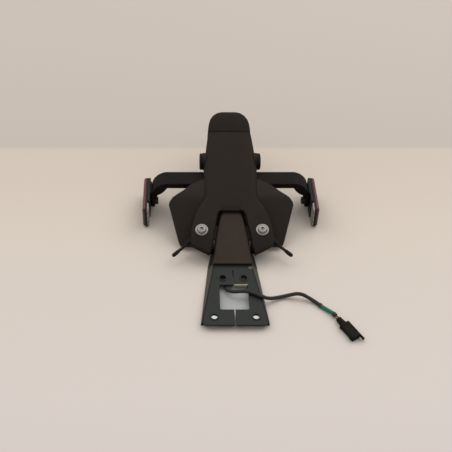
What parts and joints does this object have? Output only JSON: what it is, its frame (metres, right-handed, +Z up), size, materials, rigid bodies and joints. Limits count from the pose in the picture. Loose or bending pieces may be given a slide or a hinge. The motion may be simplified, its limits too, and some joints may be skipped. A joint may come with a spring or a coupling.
{
  "type": "tail tidy",
  "caption": "Slim number plate carrier for a motorbike tail: folded arm with mounting plate, moulded covers, plate panel, cross bracket with side reflectors, lamp cap and wired connector.",
  "frame": {"origin": "middle of the part's length and width, on the surface that the mounting plate's walls and the reflectors' lower edges rest on", "axes": "+Z up, square to the mounting plate; +Y from the mounting plate towards the lamp cap; +X across, to the right seen from the mounting end"},
  "size_m": [0.2296, 0.3087, 0.0763],
  "materials": {
    "frame_steel": "satin black powder coat with a cool grey cast",
    "bracket_steel": "satin black powder coat",
    "cover_plastic": "fine grained black moulding",
    "arm_cover_plastic": "fine grained brownish black moulding",
    "cap_plastic": "fine grained black moulding",
    "panel_plastic": "fine grained black moulding",
    "rubber_black": "matt rubber",
    "zinc_steel": "bright zinc plate",
    "dark_steel": "black zinc plate",
    "red_lens": "moulded red prism lens",
    "clear_lens": "clear moulded lens",
    "black_gloss": "moulded black",
    "white_backing": "ribbed off white moulding",
    "board_green": "coated circuit board",
    "led_face": "yellow phosphor face",
    "lead_jacket": "soft black jacket",
    "sleeve_green": "woven green sleeve",
    "brass_terminal": "stamped brass"
  },
  "bodies": {
    "root": {"mounting_arm": "frame_steel", "mount_bushes": "dark_steel", "arm_cover": "arm_cover_plastic", "top_cover": "cover_plastic", "lamp_cap": "cap_plastic", "lamp_lens": "clear_lens", "lamp_gasket": "rubber_black", "lamp_board": "board_green", "lamp_leds": "led_face", "cap_screws": "dark_steel", "cover_screws": "zinc_steel", "cover_nuts": "zinc_steel", "hump_screws": "dark_steel", "plate_panel": "panel_plastic", "reflector_bracket": "bracket_steel", "bracket_bolts": "dark_steel", "bracket_nuts": "zinc_steel", "left_reflector_lens": "red_lens", "right_reflector_lens": "red_lens", "left_reflector_carrier": "black_gloss", "right_reflector_carrier": "black_gloss", "left_reflector_backing": "white_backing", "right_reflector_backing": "white_backing", "reflector_nuts": "zinc_steel", "left_indicator_bush": "rubber_black", "right_indicator_bush": "rubber_black", "left_locating_peg": "rubber_black", "right_locating_peg": "rubber_black", "arm_rivet": "zinc_steel", "lead_clip": "black_gloss", "lamp_lead": "lead_jacket", "connector_lead": "lead_jacket", "green_sleeve": "sleeve_green", "connector_boot": "rubber_black", "connector_housing": "black_gloss", "connector_terminals": "brass_terminal"}
  },
  "joints": []
}
